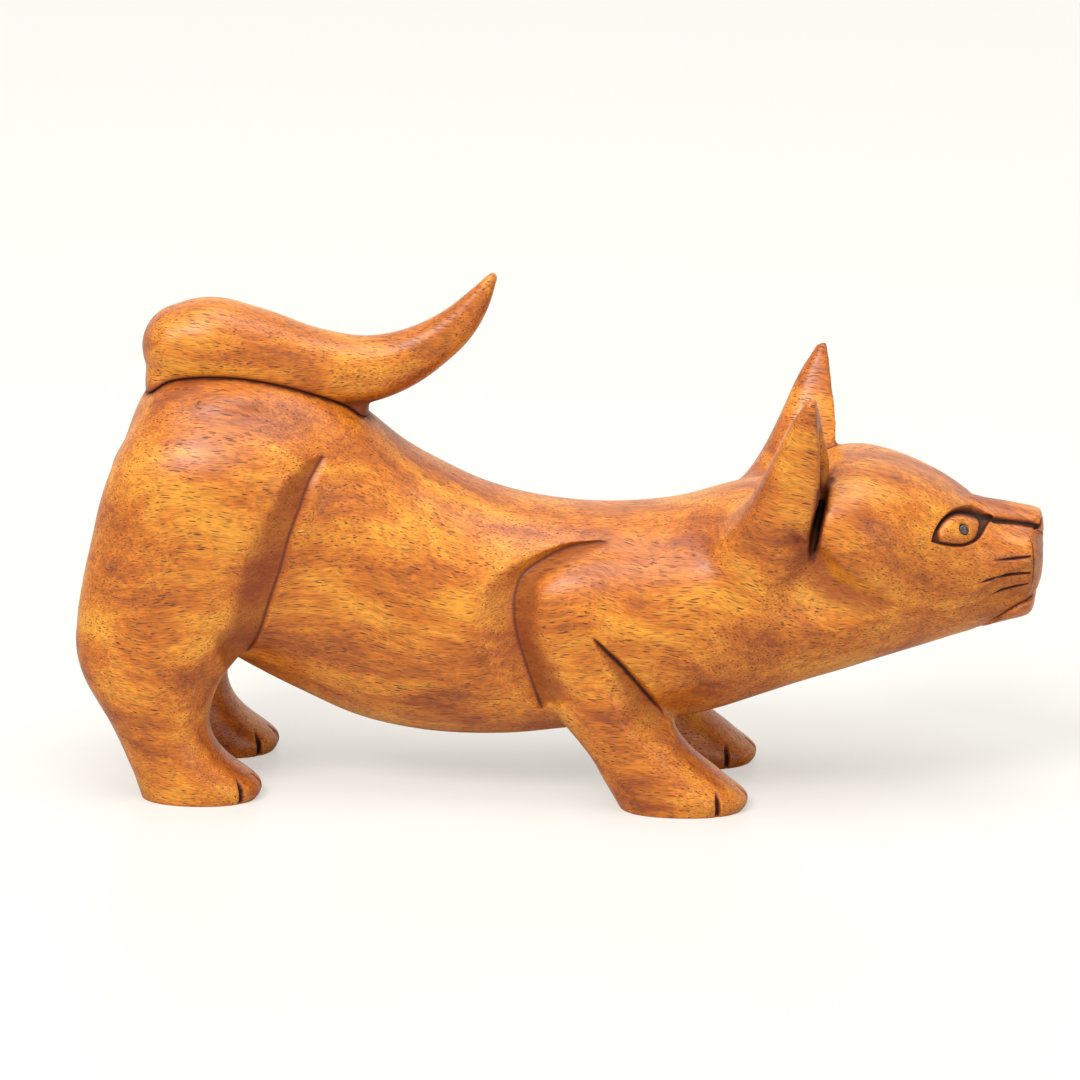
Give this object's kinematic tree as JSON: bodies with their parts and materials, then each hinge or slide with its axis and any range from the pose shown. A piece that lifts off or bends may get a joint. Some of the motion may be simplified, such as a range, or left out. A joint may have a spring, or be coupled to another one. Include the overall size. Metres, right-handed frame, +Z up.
{
  "type": "cat figurine",
  "caption": "Carved and varnished wooden cat in a low stretch, chest down and rump up, with pointed ears and a curved tail laid forward over its back.",
  "frame": {"origin": "middle of the cat's length and width, at the level of its soles", "axes": "+X towards the nose, +Y towards the cat's left side, +Z up"},
  "size_m": [0.2524, 0.0648, 0.1375],
  "materials": {
    "carved_wood": "satin varnish over an orange-brown hardwood",
    "tail_wood": "satin varnish over the same orange-brown hardwood",
    "dowel_wood": "plain pale dowel wood, no varnish",
    "pupil_wood": "dark stained, glossy"
  },
  "bodies": {
    "root": {"body": "carved_wood", "tail": "tail_wood", "rear_tail_peg": "dowel_wood", "front_tail_peg": "dowel_wood", "right_pupil": "pupil_wood", "left_pupil": "pupil_wood"}
  },
  "joints": []
}
